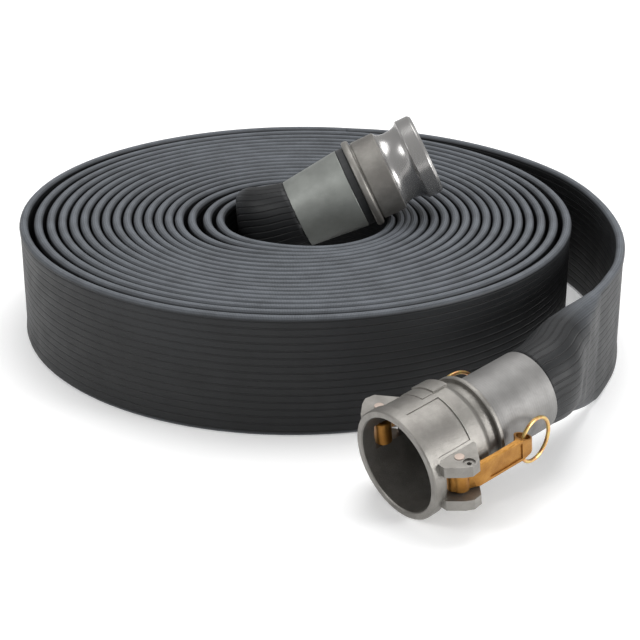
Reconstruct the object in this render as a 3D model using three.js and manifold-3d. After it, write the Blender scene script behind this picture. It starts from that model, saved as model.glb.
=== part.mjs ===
// A rolled lay-flat delivery hose with a cam-and-groove coupling at each end.
// Millimetres, +Z up. The hose stands on its folded edge, wound into a flat spiral roll.
// Its outer end leaves the far side, swings round the right side and ends in a lever
// coupler lying on the floor. Its inner end climbs out of the eye to a grooved adapter.
// The layout is drawn with the roll's axis at x = y = 0 and the floor at z = 0, and the
// whole group is then shifted so that its origin is the middle of its footprint.

import * as THREE from 'three';
import Module from 'manifold-3d';
import { mergeVertices } from 'three/addons/utils/BufferGeometryUtils.js';

// ---------- sizes ----------

const GAP = 0.3;                    // between faces that meet
const RUNNING = 0.1;                // around each lever pin

const HOSE_WIDTH = 88;              // laid flat, so also the height of the roll
const HOSE_FLAT = 5.4;              // both walls together
const HOSE_GIRTH = 2 * HOSE_WIDTH + 4;   // round the outside of the open hose
const HOSE_END_GIRTH = 166.5;       // where a ferrule squeezes it
const HOSE_END_OD = 53;

const ROLL_START_R = 204;           // middle of the outermost turn, on the left
const ROLL_PITCH = 8.06;            // from one turn to the next
const ROLL_EASE = 6.3;              // the outer turns lie a little looser
const ROLL_EASE_TURNS = 1.6;
const ROLL_LEAVES = 79;             // degrees: where the outer end leaves the roll
const EDGE_THICK = 6.9;             // the folded edge is thicker than the flat
const EYE_CENTRE = [9, -17.6];
const EYE_R = 65.1;

const BORE_R = 20.5;                // through both shanks
const SHANK_R = 23.4;

const SOCKET_R = 32;                // coupler: the adapter's seat
const SOCKET_LENGTH = 40.6;
const BODY_R = 35.6;
const MOUTH_R = 36.9;
const FLANGE_R = 33.2;
const PIN_S = 19.7;                 // lever pins: distance behind the mouth
const PIN_U = 37;                   // and out from the axis
const PIN_R = 3.1;
const LEVER_HALF = 8;               // half the lever's width
const LEVER_TAPER = [44, 19.8];     // where its end starts to narrow, and by how many degrees
const EAR_THICK = 7.3;
const CHEEK = 0.8;                  // clearance between a lever and an ear
const LEVER_HUB_R = 5;
const LOBE = [-1.5, -4];            // centre of the cam lobe, from the pin
const LOBE_R = 5.5;
const EYE_HOLE = [50.5, 1.5];       // the lever's pull-ring eye, from the pin
const EYE_HOLE_R = 4.4;
const EYE_OUTER_R = 5.6;
const RING_START = [49, 1.53];      // where the ring's wire crosses the eye, from the pin
const RING_DROOP = 18;
const RING_R = 14.6;
const RING_WIRE_R = 1.25;
const FERRULE_START = 63.5;         // coupler's ferrule, behind the mouth
const FERRULE_END = 112;
const FERRULE_R = 27;
const FERRULE_WALL = 1.5;

const HEAD_R = 31.5;                // adapter
const HEAD_BORE_R = 25.2;
const COLLAR_R = 34.5;
const CONE_START = 62;              // its ferrule, behind the head's face
const CONE_END = 108;
const CONE_BIG_R = 31;
const CONE_SMALL_R = 26.4;

const ROUND = 48;                   // facets round a turned piece

// ---------- materials ----------

const surface = (color, roughness, metalness) => (
  new THREE.MeshStandardMaterial({ color, roughness, metalness })
);
const metal = (color, roughness) => surface(color, roughness, 0.85);
const rubber = (color) => surface(color, 0.7, 0);

const castAluminium = metal(0x97938d, 0.5);
const ferruleAluminium = metal(0x9aa09c, 0.4);
const brass = metal(0xb98a3f, 0.4);
const pinSteel = metal(0xcbb9b0, 0.35);
const ringWire = metal(0xb27c45, 0.3);
const hoseRubber = rubber(0x2b2d30);
const sealRubber = rubber(0x161616);

// ---------- solids ----------

const wasm = await Module();
wasm.setup();

function toSolid(geometry) {
  const bare = geometry.clone();
  bare.deleteAttribute('normal');
  bare.deleteAttribute('uv');
  const merged = mergeVertices(bare, 1e-4);
  return new wasm.Manifold(new wasm.Mesh({
    numProp: 3,
    vertProperties: new Float32Array(merged.attributes.position.array),
    triVerts: new Uint32Array(merged.index.array),
  }));
}

function toGeometry(solid) {
  const mesh = solid.getMesh();
  const geometry = new THREE.BufferGeometry();
  const corners = new Float32Array(mesh.vertProperties);
  geometry.setAttribute('position', new THREE.BufferAttribute(corners, 3));
  geometry.setIndex(new THREE.BufferAttribute(new Uint32Array(mesh.triVerts), 1));
  geometry.computeVertexNormals();
  return geometry;
}

function combine(start, added, removed) {
  let solid = toSolid(start);
  for (const piece of added) solid = solid.add(toSolid(piece));
  for (const piece of removed) solid = solid.subtract(toSolid(piece));
  return toGeometry(solid);
}

// A turned piece. profile is a closed loop of [distance along +Y, radius], bore first.
function turned(profile, facets = ROUND) {
  const points = profile.map(([s, r]) => new THREE.Vector2(r, s)).reverse();
  points.push(points[0].clone());
  return new THREE.LatheGeometry(points, facets);
}

// A plate drawn in the (u, s) plane and standing from v0 to v1 along Z.
function plate(outline, v0, v1, bevel = 0) {
  const shape = new THREE.Shape(outline.map(([s, u]) => new THREE.Vector2(u, s)));
  const geometry = new THREE.ExtrudeGeometry(shape, {
    depth: v1 - v0 - 2 * bevel,
    bevelEnabled: bevel > 0,
    bevelThickness: bevel,
    bevelSize: bevel,
    bevelOffset: -bevel,
    bevelSegments: 1,
    steps: 1,
  });
  return geometry.translate(0, 0, v0 + bevel);
}

// A part of a pipe wall, from radius r0 to r1 and from s0 to s1. The angles are in
// degrees from +Z towards +X.
function wallSector(r0, r1, a0, a1, s0, s1) {
  const turn = THREE.MathUtils.degToRad;
  const shape = new THREE.Shape();
  shape.absarc(0, 0, r1, turn(a0) - Math.PI / 2, turn(a1) - Math.PI / 2, false);
  shape.absarc(0, 0, r0, turn(a1) - Math.PI / 2, turn(a0) - Math.PI / 2, true);
  const options = { depth: s1 - s0, bevelEnabled: false, curveSegments: 10 };
  const geometry = new THREE.ExtrudeGeometry(shape, options);
  return geometry.rotateX(-Math.PI / 2).translate(0, s0, 0);
}

function rod(r, v0, v1, s, u, facets = 24) {
  const geometry = new THREE.CylinderGeometry(r, r, v1 - v0, facets);
  return geometry.rotateX(Math.PI / 2).translate(u, s, (v0 + v1) / 2);
}

function arc([x, y], r, from, to, count) {
  return Array.from({ length: count + 1 }, (_, i) => {
    const a = THREE.MathUtils.degToRad(from + (to - from) * i / count);
    return [x + r * Math.cos(a), y + r * Math.sin(a)];
  });
}

function addMesh(group, name, geometry, material) {
  const mesh = new THREE.Mesh(geometry, material);
  mesh.name = name;
  group.add(mesh);
  return mesh;
}

// ---------- the hose ----------

const turnR = (t) => ROLL_START_R - ROLL_PITCH * t + ROLL_EASE * Math.exp(-t / ROLL_EASE_TURNS);

// Value at s of a list of [s, value] pairs, straight between them.
function along(table, s) {
  if (s <= table[0][0]) return table[0][1];
  for (let i = 1; i < table.length; i += 1) {
    const [s0, v0] = table[i - 1];
    const [s1, v1] = table[i];
    if (s <= s1) return v0 + (v1 - v0) * (s - s0) / (s1 - s0);
  }
  return table[table.length - 1][1];
}

// How wide the hose stands, at a distance from its ferrule: round first, then flat.
const TAIL_WIDTHS = [[0, HOSE_END_OD], [40, 66], [70, 78], [110, HOSE_WIDTH]];
const INNER_WIDTHS = [
  [0, HOSE_END_OD], [18, 61], [36, 71], [49, 78], [60, 83], [75, 86.5], [90, HOSE_WIDTH],
];

function hoseSection(widths, s) {
  const width = along(widths, s);
  const girth = along([[0, HOSE_END_GIRTH], [60, HOSE_GIRTH]], s);
  const thick = (girth - 2 * width) / (Math.PI - 2);
  return [width, THREE.MathUtils.clamp(thick, HOSE_FLAT, width)];
}

// A twelve-sided lay-flat section carried along a route that starts at a ferrule. It is
// square to the route where the hose is round, and upright where it is flat.
function bandAlong(points, widths, steps) {
  const stations = points.map((p) => new THREE.Vector3(...p));
  const route = new THREE.CatmullRomCurve3(stations, false, 'centripetal');
  route.arcLengthDivisions = 600;
  const length = route.getLength();
  const corners = arc([0, 0], 1, 15, 345, 11).map(([x, y]) => new THREE.Vector2(x, y));
  const options = { depth: 1, steps, bevelEnabled: false };
  const geometry = new THREE.ExtrudeGeometry(new THREE.Shape(corners), options);
  const position = geometry.attributes.position;
  const up = new THREE.Vector3(0, 0, 1);
  for (let i = 0; i < position.count; i += 1) {
    const k = Math.round(position.getZ(i) * steps) / steps;
    const [width, thick] = hoseSection(widths, k * length);
    const tangent = route.getTangentAt(k);
    const side = new THREE.Vector3().crossVectors(tangent, up).normalize();
    const flatness = (width - HOSE_END_OD) / (HOSE_WIDTH - HOSE_END_OD);
    const high = new THREE.Vector3().crossVectors(side, tangent).lerp(up, flatness).normalize();
    const x = position.getX(i);
    const y = position.getY(i);
    const rise = thick / 2 * x + (width - thick) / 2 * Math.sign(x);
    const spot = route.getPointAt(k).addScaledVector(high, rise);
    spot.addScaledVector(side, thick / 2 * y);
    position.setXYZ(i, spot.x, spot.y, spot.z);
  }
  geometry.computeVertexNormals();
  return geometry;
}

// The wound turns, as one solid: a spiral outside with one step where the outer end
// leaves, and a round eye.
function rollSolid() {
  const outline = [];
  const count = 90;
  for (let i = 0; i <= count; i += 1) {
    const degrees = ROLL_LEAVES + 360 * i / count;
    const t = (degrees - 180) / 360;
    const r = turnR(t) + EDGE_THICK / 2;
    const a = THREE.MathUtils.degToRad(degrees);
    outline.push(new THREE.Vector2(r * Math.cos(a), r * Math.sin(a)));
  }
  const shape = new THREE.Shape(outline);
  const eye = new THREE.Path();
  eye.absarc(...EYE_CENTRE, EYE_R, 0, 2 * Math.PI, true);
  shape.holes.push(eye);
  const options = { depth: HOSE_WIDTH, bevelEnabled: false, curveSegments: 48 };
  return new THREE.ExtrudeGeometry(shape, options);
}

const polar = (degrees, r, z, [x, y] = [0, 0]) => {
  const a = THREE.MathUtils.degToRad(degrees);
  return [x + r * Math.cos(a), y + r * Math.sin(a), z];
};

// ---------- where the two couplings lie ----------

const coupler = new THREE.Group();
coupler.position.set(63.3, -319.3, MOUTH_R - 0.5);
const couplerTurn = [9.4, 3.9, -52.1].map(THREE.MathUtils.degToRad);
coupler.rotation.set(...couplerTurn, 'ZXY');
coupler.updateMatrix();

const adapterAxis = new THREE.Vector3(-0.9026, -0.1061, -0.4171).normalize();   // head to hose
const adapter = new THREE.Group();
adapter.position.set(97.75, -7.45, 135.1);
adapter.quaternion.setFromUnitVectors(new THREE.Vector3(0, 1, 0), adapterAxis);
adapter.updateMatrix();

const onAxis = (group, s) => new THREE.Vector3(0, s, 0).applyMatrix4(group.matrix).toArray();

// The outer end, from the coupler's ferrule back to the roll. SWING holds the angle about
// the roll's axis and how far the hose stands outside its place in the roll.
const MIDDLE = HOSE_WIDTH / 2;
const LEAVE_R = turnR((ROLL_LEAVES - 180) / 360);
const SWING = [
  [-26, 40.7], [-20, 36.4], [-14, 32.6], [-8, 28.8], [-1, 24.8], [6, 21.8],
  [14, 19], [23, 16], [36, 11.5], [50, 8], [63, 5.4], [71, 2.6], [ROLL_LEAVES - 0.08, 0],
];
const tailRoute = [
  onAxis(coupler, FERRULE_END + GAP),
  onAxis(coupler, FERRULE_END + 15),
  [174, -217, 55], [186, -199, 52.5], [198, -180, 49], [209, -160, 46],
  polar(-32, LEAVE_R + 44.5, MIDDLE + 0.5),
  ...SWING.map(([degrees, out]) => polar(degrees, LEAVE_R + out, MIDDLE)),
];

// The inner end, from the adapter's ferrule down to the wall of the eye.
const BEND_CENTRE = [-12, 8];
const BEND_R = 28;
const BEND = [[-115, 34], [-140, 25.5], [-165, 17], [-190, 10], [-215, 5.5], [-240, 2.5]];
const WALL_R = 60.4;
const WALL = [[100, 0, 0.5], [80, 0, 0], [60, 0.3, 0], [36, 0.8, 0]];
const innerRoute = [
  onAxis(adapter, CONE_END + GAP),
  onAxis(adapter, CONE_END + 5),
  ...BEND.map(([degrees, rise]) => polar(degrees, BEND_R, MIDDLE + rise, BEND_CENTRE)),
  ...WALL.map(([degrees, out, rise]) => polar(degrees, WALL_R + out, MIDDLE + rise, EYE_CENTRE)),
];

// ---------- the coupler (socket half) ----------
// In the coupler's own group the mouth is at y = 0, +Y (s) runs back to the hose, +X (u)
// goes out through the near lever and +Z (v) is up.

const coupleEnd = FERRULE_START - 2.8;          // back face of the rear flange
const bodyProfile = [
  [0, SOCKET_R + 0.6], [0.8, SOCKET_R], [SOCKET_LENGTH, SOCKET_R], [SOCKET_LENGTH, 33.6],
  [47.4, 33.6], [47.4, 22.5], [49.4, BORE_R], [FERRULE_END - 2.5, BORE_R],
  [FERRULE_END - 2.5, SHANK_R - 0.8], [FERRULE_END - 6, SHANK_R], [coupleEnd, SHANK_R],
  [coupleEnd, FLANGE_R - 0.6], [coupleEnd - 0.6, FLANGE_R], [coupleEnd - 2.6, FLANGE_R],
  [coupleEnd - 3.2, FLANGE_R - 0.6], [coupleEnd - 3.2, 30], [52, 30], [49, 31.5], [46.5, 34.6],
  [44, BODY_R], [8.6, BODY_R], [8, MOUTH_R], [0.9, MOUTH_R], [0, MOUTH_R - 0.7],
];
const earOutline = [[6, 31.6], [6, 38.5], [14, 46.5], [19, 49.5], [25.5, 48.5], [36, 34], [36, 31.6]];
const earLow = LEVER_HALF + CHEEK;
const earHigh = earLow + EAR_THICK;
const slotOutline = [[10.1, 25], [10.1, 37.2], [31.7, 37.2], [31.7, 25]];

function couplerBody() {
  const added = [];
  const removed = [];
  for (const half of [0, Math.PI]) {
    const place = (geometry) => geometry.rotateY(half);
    removed.push(place(wallSector(34.9, 40, 4.8, 60, 8.6, 34.4)));
    added.push(place(wallSector(34.8, 36.0, -38, -3, 26, 46.5)));
    added.push(place(wallSector(34.8, 37, -38, -3, 35, 46.5)));
  }
  const panelled = combine(turned(bodyProfile), [], removed);
  const cuts = [];
  for (const half of [0, Math.PI]) {
    const place = (geometry) => geometry.rotateY(half);
    added.push(place(plate(earOutline, earLow, earHigh)));
    added.push(place(plate(earOutline, -earHigh, -earLow)));
    cuts.push(place(plate(slotOutline, -earLow, earLow)));
    cuts.push(place(rod(PIN_R + RUNNING, -earHigh - 1, earHigh + 1, PIN_S, PIN_U)));
    cuts.push(place(rod(3.9, earHigh - 1.2, earHigh + 1, 20.5, 44.6, 20)));
    cuts.push(place(rod(1.5, earLow - 0.4, earHigh + 1, 20.5, 44.6, 12)));
  }
  return combine(panelled, added, cuts);
}

// Lever outlines are drawn from the pin: [back along the coupler, out from it].
const leverOutline = [
  ...arc([0, 0], LEVER_HUB_R, 50, 177, 8),
  ...arc(LOBE, LOBE_R, 129.4, 350, 12),
  [4.4, -3.4], [7.5, 0.2], [11, 2.6], [28, 3], [42, 2.8], [45.4, -0.6],
  ...arc(EYE_HOLE, EYE_OUTER_R, 225, 435, 12),
  [9.9, 6.6], [6.3, 4.6],
].map(([a, b]) => [a + PIN_S, b + PIN_U]);

function leverSolid() {
  const [eyeS, eyeU] = [EYE_HOLE[0] + PIN_S, EYE_HOLE[1] + PIN_U];
  const recess = new THREE.BoxGeometry(3, 27, 2 * LEVER_HALF - 5);
  recess.translate(PIN_U + 7.5, PIN_S + 31.5, 0);
  const [taperStart, taper] = LEVER_TAPER;
  const corners = [0, Math.PI].map((half) => {
    const corner = new THREE.BoxGeometry(40, 40, 10).translate(0, 20, 5);
    corner.rotateX(THREE.MathUtils.degToRad(-taper));
    corner.translate(0, PIN_S + taperStart, LEVER_HALF).rotateY(half);
    return corner.translate(PIN_U, 0, 0);
  });
  return combine(plate(leverOutline, -LEVER_HALF, LEVER_HALF, 0.7), [], [
    ...corners,
    rod(PIN_R + RUNNING, -LEVER_HALF - 1, LEVER_HALF + 1, PIN_S, PIN_U),
    rod(EYE_HOLE_R, -LEVER_HALF - 1, LEVER_HALF + 1, eyeS, eyeU, 20),
    recess,
  ]);
}

// The pull ring hangs in the lever's eye, leaning back and down.
function pullRing(droop) {
  const lean = THREE.MathUtils.degToRad(-9.7);
  const drop = THREE.MathUtils.degToRad(droop);
  const level = new THREE.Vector3(Math.sin(lean), Math.cos(lean), 0);
  const up = new THREE.Vector3(0, 0, 1);
  const out = level.clone().multiplyScalar(Math.cos(drop)).addScaledVector(up, Math.sin(drop));
  const across = up.clone().multiplyScalar(Math.cos(drop)).addScaledVector(level, -Math.sin(drop));
  const facing = new THREE.Vector3().crossVectors(out, across);
  const basis = new THREE.Matrix4().makeBasis(out, across, facing);
  const start = new THREE.Vector3(PIN_U + RING_START[1], PIN_S + RING_START[0], 0);
  return new THREE.TorusGeometry(RING_R, RING_WIRE_R, 12, 40)
    .applyMatrix4(basis)
    .translate(...start.addScaledVector(out, RING_R).toArray());
}

addMesh(coupler, 'female_body', couplerBody(), castAluminium);
addMesh(coupler, 'female_gasket', turned([
  [SOCKET_LENGTH + 0.4, 25.4], [47.1, 25.4], [47.1, 33.2], [SOCKET_LENGTH + 0.4, 33.2],
]), sealRubber);
addMesh(coupler, 'female_ferrule', turned([
  [FERRULE_START, FERRULE_R - FERRULE_WALL - 0.3], [FERRULE_END, FERRULE_R - FERRULE_WALL - 0.3],
  [FERRULE_END, FERRULE_R - 0.4], [FERRULE_END - 0.4, FERRULE_R],
  [FERRULE_START + 0.4, FERRULE_R], [FERRULE_START, FERRULE_R - 0.4],
]), ferruleAluminium);
addMesh(coupler, 'female_hose_end', turned([
  [coupleEnd + GAP, SHANK_R + GAP], [FERRULE_END, SHANK_R + GAP],
  [FERRULE_END, FERRULE_R - FERRULE_WALL - 0.6], [FERRULE_START - GAP, FERRULE_R - FERRULE_WALL - 0.6],
  [FERRULE_START - GAP, FERRULE_R + 0.4], [coupleEnd + GAP, FERRULE_R + 0.4],
]), hoseRubber);

for (const [side, half, droop] of [['right', 0, -RING_DROOP], ['left', Math.PI, RING_DROOP]]) {
  const hand = new THREE.Group();
  hand.rotation.y = half;
  coupler.add(hand);
  addMesh(hand, `${side}_lever`, leverSolid(), brass);
  const pin = rod(PIN_R, -earHigh - 0.5, earHigh + 0.5, PIN_S, PIN_U);
  addMesh(hand, `${side}_lever_pin`, pin, pinSteel);
  addMesh(hand, `${side}_pull_ring`, pullRing(droop), ringWire);
}

// ---------- the adapter (plug half) ----------
// In its own group the head's face is at y = 0 and +Y runs back to the hose.

const saddle = [
  [13.3, 29.6], [15.6, 28.2], [19, 27.3], [23.5, 27],
  [27, 27.5], [29.4, 28.7], [30.8, 30.3], [31.4, 31.2],
];
const collarBack = CONE_START - 6;
const adapterProfile = [
  [0, HEAD_BORE_R], [46, HEAD_BORE_R], [51, BORE_R], [CONE_END - 2, BORE_R],
  [CONE_END - 2, SHANK_R - 0.4], [collarBack, SHANK_R + 2.6], [collarBack, COLLAR_R - 1.3],
  [collarBack - 0.6, COLLAR_R - 0.4], [collarBack - 1.7, COLLAR_R], [collarBack - 3.8, COLLAR_R],
  [collarBack - 4.9, COLLAR_R - 0.5], [collarBack - 5.5, COLLAR_R - 1.5], [collarBack - 5.7, 30.4],
  [collarBack - 7, 30.4], [collarBack - 7, 31.3], ...saddle.slice().reverse(),
  [12, HEAD_R], [2, HEAD_R], [0, HEAD_R - 1.6],
];

addMesh(adapter, 'male_body', turned(adapterProfile), castAluminium);
addMesh(adapter, 'male_ferrule', turned([
  [CONE_START, CONE_BIG_R - 1.4], [CONE_END, CONE_SMALL_R - 1.4], [CONE_END, CONE_SMALL_R - 0.4],
  [CONE_END - 0.4, CONE_SMALL_R], [CONE_START + 0.4, CONE_BIG_R], [CONE_START, CONE_BIG_R - 0.4],
]), ferruleAluminium);
addMesh(adapter, 'male_hose_end', turned([
  [collarBack + GAP, SHANK_R + 2.9], [CONE_END, SHANK_R - 0.1], [CONE_END, CONE_SMALL_R - 1.7],
  [CONE_START - GAP, CONE_BIG_R - 1.7], [CONE_START - GAP, CONE_BIG_R - 0.2],
  [collarBack + GAP, CONE_BIG_R - 0.2],
]), hoseRubber);

// ---------- everything together ----------

const whole = new THREE.Group();
addMesh(whole, 'hose_roll', rollSolid(), hoseRubber);
addMesh(whole, 'hose_tail', bandAlong(tailRoute, TAIL_WIDTHS, 64), hoseRubber);
addMesh(whole, 'hose_inner_end', bandAlong(innerRoute, INNER_WIDTHS, 36), hoseRubber);
whole.add(coupler, adapter);
whole.updateMatrixWorld(true);

const box = new THREE.Box3();
whole.traverse((node) => {
  if (node.isMesh) box.union(new THREE.Box3().setFromObject(node, true));
});
const middle = box.getCenter(new THREE.Vector3());
whole.position.set(-middle.x, -middle.y, -box.min.z);

export default whole;
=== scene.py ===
# %% [markdown]
# # A rolled lay-flat hose
#
# The part is a black ribbed hose wound on edge into a flat roll, with a lever coupler on
# its outer end and a grooved adapter on its inner end. The CAD frame gives the metal
# pieces. This lesson adds the hose itself, the finishes, the camera and the light.
# Lengths are in metres, in the frame's own axes.

# %%
import math

import bmesh
import bpy
import numpy as np
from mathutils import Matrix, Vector


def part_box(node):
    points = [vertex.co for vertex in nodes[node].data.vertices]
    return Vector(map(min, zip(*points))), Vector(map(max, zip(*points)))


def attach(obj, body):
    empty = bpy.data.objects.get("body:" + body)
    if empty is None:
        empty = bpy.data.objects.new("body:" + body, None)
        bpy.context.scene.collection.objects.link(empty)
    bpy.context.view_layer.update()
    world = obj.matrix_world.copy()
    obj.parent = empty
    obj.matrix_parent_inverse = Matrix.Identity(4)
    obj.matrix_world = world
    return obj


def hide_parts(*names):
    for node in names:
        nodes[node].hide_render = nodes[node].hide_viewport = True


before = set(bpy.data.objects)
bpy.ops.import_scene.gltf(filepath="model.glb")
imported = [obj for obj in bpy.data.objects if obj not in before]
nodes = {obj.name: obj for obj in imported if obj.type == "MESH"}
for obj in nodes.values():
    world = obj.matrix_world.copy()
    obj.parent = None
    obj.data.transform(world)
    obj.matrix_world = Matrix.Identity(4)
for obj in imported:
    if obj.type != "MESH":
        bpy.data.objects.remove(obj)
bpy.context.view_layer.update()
scene = bpy.context.scene
print(len(nodes), "frame nodes")

# %% [markdown]
# ## Where things lie
#
# The roll's axis comes from the solid that stands for the wound turns. The couplings'
# axes are the ones that the frame was drawn with, measured from the roll's axis.

# %%
MM = 0.001
WIDTH, EDGE, FLAT = 88.0, 6.9, 5.4      # laid flat: width, folded edge, flank
END_OD, END_GIRTH, OPEN_GIRTH = 53.0, 166.5, 180.0      # at a ferrule, and past it
MIDDLE = WIDTH / 2


def turn_radius(t):
    return 204.0 - 8.06 * t + 6.3 * math.exp(-t / 1.6)


roll_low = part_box("hose_roll")[0]
axis_x = roll_low[0] / MM + turn_radius(0) + EDGE / 2
axis_y = roll_low[1] / MM + turn_radius(0.25) + EDGE / 2
SHIFT = np.array([axis_x, axis_y, 0.0])
print("roll axis", SHIFT)


def place(point):
    """A point measured in millimetres from the roll's axis, in the row frame."""
    return (np.asarray(point, float) + SHIFT) * MM


MOUTH = np.array([63.3, -319.3, 36.4])
COUPLER_BACK = np.array([0.778488, 0.606037, 0.163326])
COUPLER_OUT = np.array([0.621628, -0.780433, -0.067102])
COUPLER_UP = np.array([-0.086799, -0.153766, 0.984288])
HEAD = np.array([97.75, -7.45, 135.1])
ADAPTER_BACK = np.array([-0.902638, -0.106104, -0.417117])
ADAPTER_SIDE = np.array([0.088535, 0.902638, -0.421197])
ADAPTER_UP = np.array([-0.421197, 0.417117, 0.805361])

# %% [markdown]
# ## The camera
#
# A long lens in front of the roll, a little above it and tilted down.

# %%
LENS, SENSOR = 93.94, 36.0
CAMERA_AT = (17.4, -1215.1, 524.7)
CAMERA_TILT = 0.4119                    # radians below level
camera = bpy.data.objects.new("camera", bpy.data.cameras.new("camera"))
scene.collection.objects.link(camera)
camera.data.lens = LENS
camera.data.sensor_width = SENSOR
camera.location = place(CAMERA_AT)
camera.rotation_euler = (math.pi / 2 - CAMERA_TILT, 0.0, 0.0)
scene.camera = camera
print("camera at", [round(c, 3) for c in camera.location])

# %% [markdown]
# ## Routes
#
# The hose is one long route: out of the coupler, round to the roll, through eighteen
# turns and up into the adapter. `smooth` rounds a list of points (a Catmull-Rom curve),
# and `even` spaces them out. `swing` holds the angle about the roll's axis and how far
# the free end stands outside its place in the roll.


# %%
def polar(degrees, radius, z, centre=(0.0, 0.0)):
    a = math.radians(degrees)
    return (centre[0] + radius * math.cos(a), centre[1] + radius * math.sin(a), z)


def smooth(points, step=4.0):
    """Evenly spaced points on a centripetal curve through the given ones."""
    p = [np.asarray(q, float) for q in points]
    p = [2 * p[0] - p[1]] + p + [2 * p[-1] - p[-2]]
    fine = []
    for a, b, c, d in zip(p, p[1:], p[2:], p[3:]):
        t0 = 0.0
        t1 = t0 + np.linalg.norm(b - a) ** 0.5
        t2 = t1 + np.linalg.norm(c - b) ** 0.5
        t3 = t2 + np.linalg.norm(d - c) ** 0.5
        for t in np.linspace(t1, t2, 24, endpoint=False):
            ab = (t1 - t) / (t1 - t0) * a + (t - t0) / (t1 - t0) * b
            bc = (t2 - t) / (t2 - t1) * b + (t - t1) / (t2 - t1) * c
            cd = (t3 - t) / (t3 - t2) * c + (t - t2) / (t3 - t2) * d
            abc = (t2 - t) / (t2 - t0) * ab + (t - t0) / (t2 - t0) * bc
            bcd = (t3 - t) / (t3 - t1) * bc + (t - t1) / (t3 - t1) * cd
            fine.append((t2 - t) / (t2 - t1) * abc + (t - t1) / (t2 - t1) * bcd)
    fine.append(p[-2])
    return even(np.array(fine), step)


def even(line, step):
    run = np.concatenate([[0], np.cumsum(np.linalg.norm(np.diff(line, axis=0), axis=1))])
    count = max(2, round(run[-1] / step))
    wanted = np.linspace(0, run[-1], count + 1)
    return np.stack([np.interp(wanted, run, line[:, k]) for k in range(3)], axis=1)


LEAVES = 79.0
leave_turn = (LEAVES - 180) / 360
leave_radius = turn_radius(leave_turn)
swing = [
    (-26, 40.7), (-20, 36.4), (-14, 32.6), (-8, 28.8), (-1, 24.8), (6, 21.8),
    (14, 19), (23, 16), (36, 11.5), (50, 8), (63, 5.4), (71, 2.6), (LEAVES, 0),
]
tail_line = smooth([
    MOUTH + 112.3 * COUPLER_BACK, MOUTH + 127 * COUPLER_BACK,
    (174, -217, 55), (186, -199, 52.5), (198, -180, 49), (209, -160, 46),
    polar(-32, leave_radius + 44.5, MIDDLE + 0.5),
    *[polar(degrees, leave_radius + out, MIDDLE) for degrees, out in swing],
], 3.0)

WAVE = 6.283
WANDER_OUT, WANDER_UP = 0.55, 0.5       # how far a turn strays from its place
LAST_TURN, TURN_POINTS = 17.5, 2140
rng = np.random.default_rng(7)
waves = [(rng.integers(1, 6), rng.uniform(0.15, 0.6), rng.uniform(0, 6.28)) for _ in range(9)]


def ripple(t, seed):
    """A slow wander between about -1 and 1, alike on turns that lie side by side."""
    total = sum(math.sin(WAVE * t * k + drift * t + phase + seed) for k, drift, phase in waves)
    return total / 4.0


def turn_point(t):
    a = math.radians(180 + 360 * t)
    ease = min(1.0, max(0.0, (t - 14) / 3))
    start = min(1.0, max(0.0, (t - leave_turn) * 3))
    cx = (1.3 + 7.7 * ease * ease * (3 - 2 * ease)) * start
    cy = -1.0 * max(t, 0)
    r = turn_radius(t) + WANDER_OUT * ripple(t, 0.0) * start
    z = MIDDLE + WANDER_UP * ripple(t, 2.0) * start
    return (cx + r * math.cos(a), cy + r * math.sin(a), z)


turns = [
    turn_point(leave_turn + (LAST_TURN - leave_turn) * i / TURN_POINTS)
    for i in range(TURN_POINTS + 1)
]
EYE, BEND = (9.0, -17.6), (-12.0, 8.0)
bend = [(-240, 46.5), (-215, 49.5), (-190, 54), (-165, 61), (-140, 69.5), (-115, 78)]
rise = smooth([
    turns[-1], polar(32, 61.3, MIDDLE, EYE), polar(60, 60.7, MIDDLE, EYE),
    polar(80, 60.4, MIDDLE, EYE), polar(100, 60.4, MIDDLE + 0.5, EYE),
    *[polar(degrees, 28, z, BEND) for degrees, z in bend],
    HEAD + 113 * ADAPTER_BACK, HEAD + 108.3 * ADAPTER_BACK,
], 3.0)
wound_line = np.concatenate([np.array(turns), rise[1:]])


def length_of(line):
    return float(np.linalg.norm(np.diff(line, axis=0), axis=1).sum())


# %% [markdown]
# ## The hose's section
#
# Near a ferrule the hose is round. Within a hand's width it flattens, and then its two
# folded edges are a little thicker than the flat between them. Every section has the
# same points at the same fractions of its girth, so a rib keeps its place all the way.

# %%
TAIL_WIDTHS = ([0, 40, 70, 110], [END_OD, 66.0, 78.0, WIDTH])
INNER_WIDTHS = ([0, 18, 36, 49, 60, 75, 90], [END_OD, 61.0, 71.0, 78.0, 83.0, 86.5, WIDTH])
OPENS_OVER = 60                         # from the ferrule to the full girth
PINCH = 7.0                             # from a folded edge to the full thinness
FLAT_GIRTH = 2 * (WIDTH - EDGE) + math.pi * EDGE
FOLD = math.pi * EDGE / 4 / FLAT_GIRTH
fold_steps = [FOLD * k / 3 for k in range(3)]
flank_steps = [FOLD + (0.5 - 2 * FOLD) * k for k in (0, 0.04, 0.09, 0.2, 0.33, 0.5)]
quarter = fold_steps + flank_steps
half = quarter + [0.5 - f for f in reversed(quarter[1:-1])]
FRACTIONS = half + [0.5 + f for f in half] + [1.0]


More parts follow.
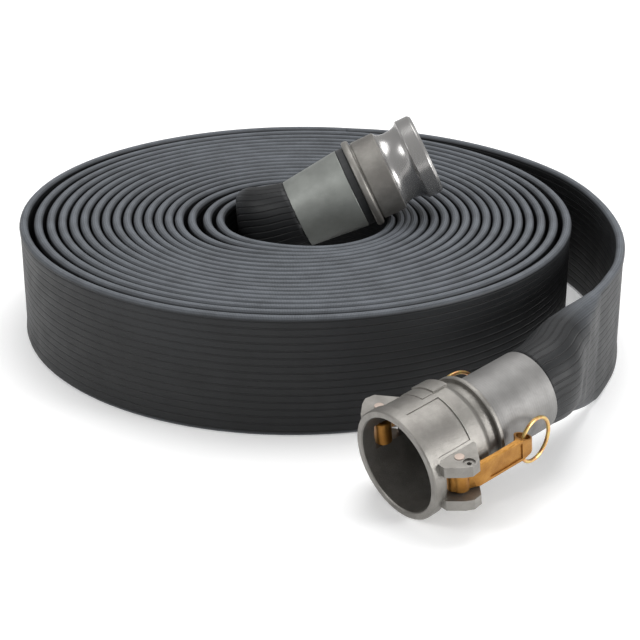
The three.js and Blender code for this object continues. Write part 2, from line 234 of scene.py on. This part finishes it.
def section(s, widths):
    """The width at s from the ferrule, the points and how much each is on a folded edge."""
    width = float(np.interp(s, *widths))
    girth = float(np.interp(s, [0, OPENS_OVER], [END_GIRTH, OPEN_GIRTH]))
    thick = min(width, max(FLAT, (girth - 2 * width) / (math.pi - 2)))
    edge = max(thick, EDGE) / 2
    flank = width - 2 * edge
    fold = math.pi * edge / 2
    around = 2 * flank + 4 * fold
    points, marks = [], []
    for fraction in FRACTIONS[:-1]:
        walked = fraction * around
        second = walked >= around / 2
        walked -= second * around / 2
        if walked < fold:
            a = walked / edge
            x, y = flank / 2 + edge * math.cos(a), edge * math.sin(a)
        elif walked <= fold + flank:
            into = min(walked - fold, fold + flank - walked)
            pinch = min(1.0, into / PINCH)
            pinch = pinch * pinch * (3 - 2 * pinch)
            x, y = flank / 2 - (walked - fold), edge + pinch * (thick / 2 - edge)
        else:
            a = (walked - fold - flank) / edge
            x, y = -flank / 2 - edge * math.sin(a), edge * math.cos(a)
        folded = max(0.0, 1.0 - abs(y) / edge) ** 0.5
        marks.append(folded if abs(x) > flank / 2 else 0.0)
        points.append((-x, -y) if second else (x, y))
    return width, points, marks


def hose_mesh(name, line, distance, widths):
    """A closed tube of sections along line. distance gives each one's way from its ferrule."""
    bm = bmesh.new()
    uv = bm.loops.layers.uv.new("hose")
    edge_layer = bm.verts.layers.float.new("edge")
    open_layer = bm.verts.layers.float.new("open")
    tangents = np.gradient(line, axis=0)
    run = 0.0
    rings = []
    for i, centre in enumerate(line):
        if i:
            run += np.linalg.norm(line[i] - line[i - 1])
        tangent = Vector(tangents[i]).normalized()
        width, points, marks = section(distance(run), widths)
        side = tangent.cross(Vector((0, 0, 1))).normalized()
        flatness = (width - END_OD) / (WIDTH - END_OD)
        high = side.cross(tangent).lerp(Vector((0, 0, 1)), flatness).normalized()
        ring = []
        for (x, y), mark in zip(points, marks):
            spot = Vector(place(centre)) + (high * x + side * y) * MM
            vert = bm.verts.new(spot)
            vert[edge_layer] = mark * min(1.0, max(0.0, 2.2 * flatness - 0.9))
            vert[open_layer] = 1.0 - flatness
            ring.append(vert)
        rings.append((ring, run * MM))
    count = len(rings[0][0])
    for (a, ua), (b, ub) in zip(rings, rings[1:]):
        for k in range(count):
            face = bm.faces.new((a[k], a[(k + 1) % count], b[(k + 1) % count], b[k]))
            face.smooth = True
            v0, v1 = FRACTIONS[k], FRACTIONS[k + 1]
            corners = ((ua, v0), (ua, v1), (ub, v1), (ub, v0))
            for loop, spot in zip(face.loops, corners):
                loop[uv].uv = spot
    bm.faces.new(list(reversed(rings[0][0])))
    bm.faces.new(rings[-1][0])
    bmesh.ops.recalc_face_normals(bm, faces=bm.faces)
    mesh = bpy.data.meshes.new(name)
    bm.to_mesh(mesh)
    bm.free()
    obj = bpy.data.objects.new(name, mesh)
    scene.collection.objects.link(obj)
    return obj


tail = hose_mesh("free_hose", tail_line, lambda s: s, TAIL_WIDTHS)
wound_run = length_of(wound_line)
wound = hose_mesh("wound_hose", wound_line, lambda s: wound_run - s, INNER_WIDTHS)
for obj in (tail, wound):
    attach(obj, "hose")
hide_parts("hose_tail")
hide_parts("hose_roll", "hose_inner_end")
print(len(tail.data.polygons), "and", len(wound.data.polygons), "faces of hose")

# %% [markdown]
# ## Writing materials as sums
#
# `Value` wraps a socket, so that arithmetic on it makes Math nodes. `make` adds any other
# node: its kind, its settings, and then its inputs as numbers or sockets. Patterns are
# drawn in metres in the object's own coordinates.


# %%
class Value:
    def __init__(self, tree, socket):
        self.tree, self.socket = tree, socket

    def math(self, operation, *others):
        node = self.tree.nodes.new("ShaderNodeMath")
        node.operation = operation
        for socket, value in zip(node.inputs, (self, *others)):
            connect(self.tree, value, socket)
        return Value(self.tree, node.outputs[0])

    def flipped(self, operation, other):
        node = self.tree.nodes.new("ShaderNodeMath")
        node.operation = operation
        connect(self.tree, other, node.inputs[0])
        connect(self.tree, self, node.inputs[1])
        return Value(self.tree, node.outputs[0])

    def __add__(self, other):
        return self.math("ADD", other)

    def __radd__(self, other):
        return self.flipped("ADD", other)

    def __sub__(self, other):
        return self.math("SUBTRACT", other)

    def __rsub__(self, other):
        return self.flipped("SUBTRACT", other)

    def __mul__(self, other):
        return self.math("MULTIPLY", other)

    def __rmul__(self, other):
        return self.flipped("MULTIPLY", other)

    def smooth_between(self, low, high):
        node = self.tree.nodes.new("ShaderNodeMapRange")
        node.interpolation_type = "SMOOTHSTEP"
        node.inputs["From Min"].default_value = low
        node.inputs["From Max"].default_value = high
        connect(self.tree, self, node.inputs["Value"])
        return Value(self.tree, node.outputs["Result"])


def connect(tree, value, socket):
    if isinstance(value, Value):
        tree.links.new(value.socket, socket)
    else:
        socket.default_value = value


def make(tree, kind, settings=None, output=0, **inputs):
    node = tree.nodes.new(kind)
    for key, value in (settings or {}).items():
        setattr(node, key, value)
    for key, value in inputs.items():
        connect(tree, value, node.inputs[key.replace("_", " ")])
    return Value(tree, node.outputs[output])


def blend_colours(tree, amount, first, second):
    node = tree.nodes.new("ShaderNodeMix")
    node.data_type = "RGBA"
    connect(tree, amount, node.inputs[0])
    for value, socket in ((first, node.inputs[6]), (second, node.inputs[7])):
        connect(tree, value if isinstance(value, Value) else (*value, 1.0), socket)
    return Value(tree, node.outputs[2])


def noise(tree, where, scale, detail=3.0, rough=0.5):
    return make(
        tree, "ShaderNodeTexNoise", Vector=where, Scale=scale, Detail=detail, Roughness=rough,
    )


def distance_along(tree, where, origin, direction):
    """How far a point lies along a line, in millimetres."""
    node = tree.nodes.new("ShaderNodeVectorMath")
    node.operation = "DOT_PRODUCT"
    connect(tree, where, node.inputs[0])
    node.inputs[1].default_value = [c / MM for c in direction]
    start = float(np.dot(place(origin), direction) / MM)
    return Value(tree, node.outputs["Value"]) - start


def new_material(name):
    material = bpy.data.materials.new(name)
    material.use_nodes = True
    tree = material.node_tree
    return material, tree, tree.nodes["Principled BSDF"]


def bump(tree, height, depth):
    """depth in metres is how far a height of 1 stands out."""
    return make(tree, "ShaderNodeBump", Height=height, Distance=depth, Strength=1.0)


def finish_material(tree, shader, **inputs):
    for key, value in inputs.items():
        connect(tree, value, shader.inputs[key.replace("_", " ")])


def object_place(tree):
    return make(tree, "ShaderNodeTexCoord", output=3)


print("ready to write materials")

# %% [markdown]
# ## Rubber
#
# The hose is black nitrile rubber with fine lengthwise ribs. Its folded edges are grey,
# with a close crosswise texture pressed in by the weave below.

# %%
TURN = 6.2832
RIBS = 34                               # round the hose
THREADS = 54
THREAD_STEP = 0.0021                    # along the hose, in metres


def hose_rubber(name):
    material, tree, shader = new_material(name)
    along_round = make(tree, "ShaderNodeUVMap", {"uv_map": "hose"})
    u = make(tree, "ShaderNodeSeparateXYZ", Vector=along_round)
    v = Value(tree, u.socket.node.outputs[1])
    edge = make(tree, "ShaderNodeAttribute", {"attribute_name": "edge"}, output=2)
    opened = make(tree, "ShaderNodeAttribute", {"attribute_name": "open"}, output=2)
    where = object_place(tree)
    rib = (v * (TURN * RIBS)).math("COSINE")
    groove = rib.smooth_between(0.55, 0.97)
    weave = (u * (TURN / THREAD_STEP) + v * (TURN * THREADS)).math("SINE")
    cross = (u * (TURN / THREAD_STEP) - v * (TURN * THREADS)).math("SINE")
    cloth = (weave * cross) * 0.5 + 0.5
    mottle = noise(tree, where, 55.0, 4.0, 0.6)
    patches = noise(tree, where, 9.0, 3.0, 0.55)
    fine = noise(tree, where, 900.0, 2.0)
    # The folded edges are made grey, with the weave pattern and mottle in them.
    grey_edges = edge * ((mottle * 1.1) + (cloth * 0.7) - 0.02)
    grey_edges = grey_edges.math("MINIMUM", 1.0).math("MAXIMUM", 0.0)
    patches = patches.smooth_between(0.35, 0.7)
    dark = blend_colours(tree, patches, (0.007, 0.0075, 0.008), (0.013, 0.014, 0.0155))
    # Painted shade: the flank colour is darkened in the rib grooves.
    painted_groove_shade = blend_colours(tree, groove * (1.0 - edge) * 0.8, dark, (0.003, 0.003, 0.0035))
    colour = blend_colours(tree, grey_edges, painted_groove_shade, (0.13, 0.142, 0.16))
    height = (cloth * 0.9 * edge) - (groove * (1.0 - edge)) + fine * 0.25
    finish_material(
        tree, shader, Base_Color=colour, Metallic=0.0,
        Roughness=(mottle * 0.25) + 0.40 - (opened * 0.02),
        Normal=bump(tree, height, 0.00035),
    )
    shader.inputs["Specular IOR Level"].default_value = 0.3
    return material


def sleeve_rubber(name, origin, side, up, strength):
    """A hose end between shank and ferrule: the ribs show as ticks round it."""
    material, tree, shader = new_material(name)
    where = object_place(tree)
    across = distance_along(tree, where, origin, side)
    above = distance_along(tree, where, origin, up)
    angle = across.math("ARCTAN2", above)
    ticks = (angle * RIBS).math("SINE").smooth_between(0.6, 1.0) * strength
    grain = noise(tree, where, 400.0)
    colour = blend_colours(tree, ticks, (0.017, 0.018, 0.019), (0.07, 0.072, 0.075))
    finish_material(
        tree, shader, Base_Color=colour, Roughness=grain * 0.2 + 0.45,
        Normal=bump(tree, ticks + grain * 0.3, 0.0003),
    )
    return material


def seal_rubber(name):
    material, tree, shader = new_material(name)
    where = object_place(tree)
    grain = noise(tree, where, 500.0)
    colour = blend_colours(tree, grain, (0.008, 0.008, 0.008), (0.02, 0.02, 0.02))
    finish_material(
        tree, shader, Base_Color=colour, Roughness=grain * 0.2 + 0.5,
        Normal=bump(tree, grain, 0.0002),
    )
    return material


print(RIBS, "ribs round the hose")

# %% [markdown]
# ## Metals
#
# The cast pieces have a fine sand grain. The adapter's head and saddle are machined, so
# they are smoother than the cast band behind them. The coupler's ferrule has faint
# crimping ridges, the adapter's is plain.

# %%
def cast_aluminium(name, origin, back, machined=None):
    """machined is how far behind the front face the smooth part ends, if there is one."""
    material, tree, shader = new_material(name)
    where = object_place(tree)
    grain = noise(tree, where, 1100.0, 4.0, 0.65)
    cloud = noise(tree, where, 70.0, 4.0, 0.6).smooth_between(0.3, 0.75)
    pits = grain.smooth_between(0.60, 0.8) * 0.35
    colour = blend_colours(tree, cloud, (0.20, 0.19, 0.176), (0.275, 0.265, 0.245))
    colour = blend_colours(tree, pits, colour, (0.11, 0.10, 0.095))
    rough = grain * 0.15 + 0.40
    height = grain
    if machined:
        s = distance_along(tree, where, origin, back)
        lines = (s * 5.2).math("SINE")
        shiny = 1.0 - s.smooth_between(machined - 0.6, machined)
        rough = rough * (1.0 - shiny) + shiny * 0.27
        height = grain * (1.0 - shiny * 0.92) + lines * shiny * 0.04
        colour = blend_colours(tree, shiny, colour, (0.36, 0.353, 0.345))
    finish_material(
        tree, shader, Base_Color=colour, Metallic=0.85, Roughness=rough,
        Normal=bump(tree, height, 0.00022),
    )
    return material


RIDGE_STEP, CRIMP_STEP = 1.75, 9.5      # along the coupler's ferrule


def ferrule_aluminium(name, origin, back, crimped, tint):
    material, tree, shader = new_material(name)
    where = object_place(tree)
    grain = noise(tree, where, 700.0, 3.0)
    cloud = noise(tree, where, 60.0, 3.0).smooth_between(0.3, 0.7)
    dull, low, high = ([c * k for c in tint] for k in (0.6, 0.86, 1.08))
    colour = blend_colours(tree, cloud, low, high)
    height = grain * 0.4
    rough = grain * 0.12 + 0.42
    if crimped:
        s = distance_along(tree, where, origin, back)
        ridges = (s * (TURN / RIDGE_STEP)).math("SINE")
        waves = (s * (TURN / CRIMP_STEP)).math("SINE")
        colour = blend_colours(tree, ridges.smooth_between(0.2, 1.0) * 0.12, colour, dull)
        height = ridges * 0.06 + waves * 0.25 + grain * 0.3
        rough = grain * 0.12 + 0.50
    finish_material(
        tree, shader, Base_Color=colour, Metallic=0.6, Roughness=rough,
        Normal=bump(tree, height, 0.00025),
    )
    return material


def cast_brass(name):
    material, tree, shader = new_material(name)
    where = object_place(tree)
    grain = noise(tree, where, 800.0, 4.0, 0.6)
    cloud = noise(tree, where, 90.0, 4.0, 0.6)
    stain = cloud.smooth_between(0.3, 0.72)
    colour = blend_colours(tree, stain, (0.26, 0.115, 0.022), (0.39, 0.195, 0.045))
    finish_material(
        tree, shader, Base_Color=colour, Metallic=0.85, Roughness=grain * 0.2 + 0.3,
        Normal=bump(tree, grain + cloud, 0.00022),
    )
    return material


def pin_steel(name):
    material, tree, shader = new_material(name)
    where = object_place(tree)
    grain = noise(tree, where, 600.0, 3.0)
    colour = blend_colours(tree, grain, (0.36, 0.29, 0.25), (0.45, 0.37, 0.32))
    finish_material(
        tree, shader, Base_Color=colour, Metallic=0.6, Roughness=grain * 0.2 + 0.38,
        Normal=bump(tree, grain, 0.0001),
    )
    return material


def ring_wire(name, origin, normal):
    """Split wire: two coils lie side by side, so a fine groove runs round the ring, darkened
    with painted shade.
    """
    material, tree, shader = new_material(name)
    where = object_place(tree)
    off = distance_along(tree, where, origin, normal)
    groove = 1.0 - off.math("ABSOLUTE").smooth_between(0.05, 0.35)
    grain = noise(tree, where, 350.0, 3.0)
    plating = grain.smooth_between(0.35, 0.65)
    colour = blend_colours(tree, plating, (0.62, 0.31, 0.14), (0.62, 0.47, 0.16))
    # Painted shade: the colour is darkened along the groove between the coils.
    colour = blend_colours(tree, groove * 0.8, colour, (0.10, 0.05, 0.02))
    finish_material(
        tree, shader, Base_Color=colour, Metallic=0.9, Roughness=grain * 0.15 + 0.24,
        Normal=bump(tree, 1.0 - groove, 0.0004),
    )
    return material


print("ridges every", RIDGE_STEP, "mm on the coupler's ferrule")

# %% [markdown]
# ## Dressing the frame
#
# Each frame piece keeps its own mesh. A narrow bevel catches the light on its edges.
# `ring_frame` finds the plane between the two coils of a pull ring's wire.

# %%
rubber = hose_rubber("hose rubber")
for obj in (tail, wound):
    obj.data.materials.clear()
    obj.data.materials.append(rubber)

RING_LEAN, RING_DROOP = math.radians(-9.7), math.radians(-18)
RING_START = np.array([38.53, 68.7, 0.0])       # in the lever's eye, from the mouth
RING_R = 14.6
SADDLE_BACK = 31.2                      # the end of the adapter's machined part


def ring_frame(side):
    """A pull ring's middle and the direction square to it. side is 1 right, -1 left."""
    lean, drop = RING_LEAN, RING_DROOP
    level = np.array([math.sin(lean), math.cos(lean), 0.0])
    out = level * math.cos(drop) + np.array([0.0, 0.0, math.sin(drop)])
    middle = RING_START + RING_R * out
    normal = np.array([math.cos(lean), -math.sin(lean), 0.0])
    axes = np.array([side * COUPLER_OUT, COUPLER_BACK, COUPLER_UP])
    return MOUTH + middle @ axes, normal @ axes


COUPLER_TINT, ADAPTER_TINT = (0.21, 0.206, 0.2), (0.25, 0.262, 0.246)
brass = cast_brass("lever brass")
steel = pin_steel("pin steel")
looks = {
    "female_body": cast_aluminium("coupler aluminium", MOUTH, COUPLER_BACK),
    "male_body": cast_aluminium("adapter aluminium", HEAD, ADAPTER_BACK, SADDLE_BACK),
    "female_ferrule": ferrule_aluminium(
        "crimped ferrule", MOUTH, COUPLER_BACK, True, COUPLER_TINT,
    ),
    "male_ferrule": ferrule_aluminium("plain ferrule", HEAD, ADAPTER_BACK, False, ADAPTER_TINT),
    "female_hose_end": sleeve_rubber("coupler hose end", MOUTH, COUPLER_OUT, COUPLER_UP, 1.0),
    "male_hose_end": sleeve_rubber("adapter hose end", HEAD, ADAPTER_SIDE, ADAPTER_UP, 0.08),
    "female_gasket": seal_rubber("seal rubber"),
    "right_lever": brass,
    "left_lever": brass,
    "right_lever_pin": steel,
    "left_lever_pin": steel,
    "right_pull_ring": ring_wire("right ring wire", *ring_frame(1)),
    "left_pull_ring": ring_wire("left ring wire", *ring_frame(-1)),
}
WELD_WITHIN = 0.00002
BEVEL = 0.2                             # millimetres, where BEVELS says nothing else
BEVELS = {"female_body": 0.5, "right_lever": 0.35, "left_lever": 0.35, "male_body": 0.25}
for name, material in looks.items():
    mesh = nodes[name].data
    mesh.materials.clear()
    mesh.materials.append(material)
    weld = nodes[name].modifiers.new("weld", "WELD")
    weld.merge_threshold = WELD_WITHIN
    bevel = nodes[name].modifiers.new("bevel", "BEVEL")
    bevel.width = BEVELS.get(name, BEVEL) * MM
    bevel.segments = 2
    bevel.limit_method = "ANGLE"
    bevel.angle_limit = math.radians(35)
    bevel.harden_normals = True
    for polygon in mesh.polygons:
        polygon.use_smooth = True
    normal = nodes[name].modifiers.new("normals", "WEIGHTED_NORMAL")
    normal.keep_sharp = True
print(len(looks), "frame pieces dressed")

# %% [markdown]
# ## Floor and light
#
# A plain pale floor that glows a little, and a soft studio: one big lamp above, one from
# the left front and one low on the right. The surround is white to the camera and lights
# the object at half that strength.

# %%
bm = bmesh.new()
bmesh.ops.create_grid(bm, x_segments=1, y_segments=1, size=6.0)
floor_mesh = bpy.data.meshes.new("floor")
bm.to_mesh(floor_mesh)
bm.free()
floor = bpy.data.objects.new("floor", floor_mesh)
scene.collection.objects.link(floor)
floor_material, tree, shader = new_material("floor")
shader.inputs["Base Color"].default_value = (0.9, 0.9, 0.9, 1.0)
shader.inputs["Roughness"].default_value = 0.9
shader.inputs["Emission Color"].default_value = (1.0, 1.0, 1.0, 1.0)
shader.inputs["Emission Strength"].default_value = 0.2
floor.data.materials.append(floor_material)


def lamp(name, where, target, size, power):
    data = bpy.data.lights.new(name, "AREA")
    data.shape = "DISK"
    data.size = size
    data.energy = power
    obj = bpy.data.objects.new(name, data)
    scene.collection.objects.link(obj)
    obj.location = where
    obj.rotation_euler = (Vector(target) - Vector(where)).to_track_quat("-Z", "Y").to_euler()


lamp("above", (0.2, 0.5, 1.9), (0, 0, 0), 1.6, 26.0)
lamp("left", (-1.5, -0.9, 1.1), (0, 0, 0.05), 0.9, 13.0)
lamp("right", (1.7, -0.7, 0.5), (0.25, -0.1, 0.04), 0.7, 22.0)
SURROUND = 0.5
world = bpy.data.worlds.new("world")
world.use_nodes = True
tree = world.node_tree
seen = make(tree, "ShaderNodeLightPath")
tree.nodes["Background"].inputs["Color"].default_value = (1.0, 1.0, 1.0, 1.0)
connect(tree, seen * (1.0 - SURROUND) + SURROUND, tree.nodes["Background"].inputs["Strength"])
scene.world = world
scene.view_settings.view_transform = "Standard"
